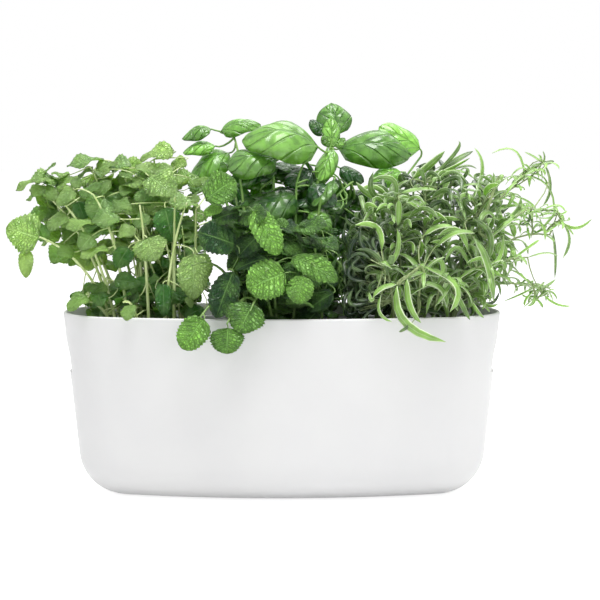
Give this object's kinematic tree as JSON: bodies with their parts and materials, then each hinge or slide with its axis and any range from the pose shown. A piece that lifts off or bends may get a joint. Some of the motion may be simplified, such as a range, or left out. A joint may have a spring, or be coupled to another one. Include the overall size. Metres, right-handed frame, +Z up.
{
  "type": "self-watering herb planter",
  "caption": "Oval white trough planter with arched end windows, a lift-out tray over a water reservoir, wicks and felt, and potted basil, mint, lemon balm and rosemary.",
  "frame": {"origin": "centre of the flat base, on the surface the planter stands on", "axes": "+X along the length to the right seen from the front, +Y to the back, +Z up"},
  "size_m": [0.4773, 0.2026, 0.3246],
  "materials": {
    "shell_plastic": "matt white, fine satin",
    "tray_plastic": "plain moulded, pale grey",
    "felt": "needle-punched felt, dark grey",
    "pot_plastic": "thin thermoformed, black",
    "soil": "peat and bark crumbs",
    "balm_green": "soft crinkled leaf, light green",
    "mint_green": "crinkled toothed leaf, mid green",
    "basil_green": "smooth shiny leaf, deep green",
    "rosemary_green": "narrow leaf, grey-green with pale edges"
  },
  "bodies": {
    "shell": {"planter_shell": "shell_plastic"},
    "tray": {"inner_tray": "tray_plastic", "capillary_felt": "felt", "wick_left": "felt", "wick_centre": "felt", "wick_right": "felt"},
    "lemon_balm_pot": {"nursery_pot_left": "pot_plastic", "soil_left": "soil", "lemon_balm": "balm_green"},
    "basil_pot": {"nursery_pot_centre": "pot_plastic", "soil_centre": "soil", "basil": "basil_green", "mint": "mint_green"},
    "rosemary_pot": {"nursery_pot_right": "pot_plastic", "soil_right": "soil", "rosemary": "rosemary_green"}
  },
  "joints": [
    {"name": "tray_lift", "type": "slide", "parent": "shell", "child": "tray", "axis": [0, 0, 1], "range_m": [0, 0.2]},
    {"name": "lemon_balm_lift", "type": "slide", "parent": "tray", "child": "lemon_balm_pot", "axis": [0, 0, 1], "range_m": [0, 0.15]},
    {"name": "basil_lift", "type": "slide", "parent": "tray", "child": "basil_pot", "axis": [0, 0, 1], "range_m": [0, 0.15]},
    {"name": "rosemary_lift", "type": "slide", "parent": "tray", "child": "rosemary_pot", "axis": [0, 0, 1], "range_m": [0, 0.15]}
  ]
}
